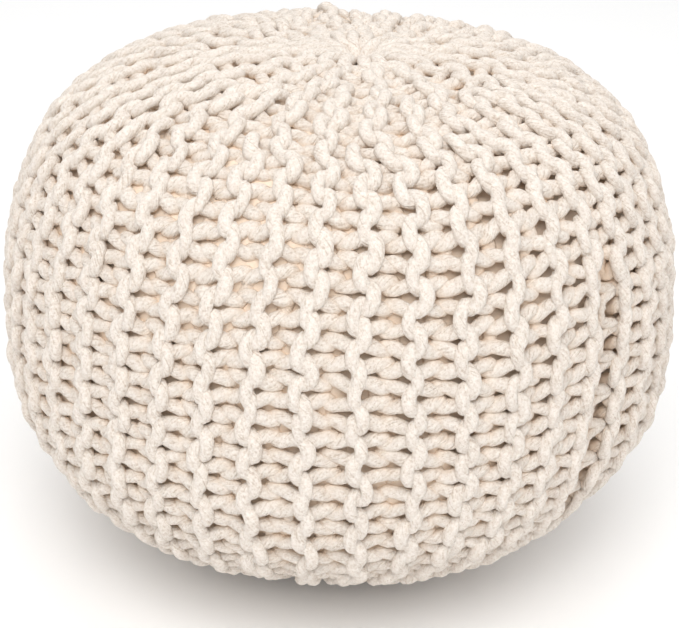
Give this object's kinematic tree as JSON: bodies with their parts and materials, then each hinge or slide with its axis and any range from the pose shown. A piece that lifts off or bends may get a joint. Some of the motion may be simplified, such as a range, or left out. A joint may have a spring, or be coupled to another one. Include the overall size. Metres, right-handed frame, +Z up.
{
  "type": "round knitted pouf",
  "caption": "Round filled pouf with a thick hand-knitted cotton cord cover, upright garter ridges, a drawn gather on the crown and a flattened base.",
  "frame": {"origin": "middle of the flat base, on the surface that the pouf stands on", "axes": "+Z up through the gather on the crown; the sewn seam is at the front right, with the front towards -Y"},
  "size_m": [0.5, 0.5, 0.3885],
  "materials": {
    "cotton_cord": "soft matt plied cotton cord, unbleached cream"
  },
  "bodies": {
    "root": {"knitted_pouf": "cotton_cord"}
  },
  "joints": []
}
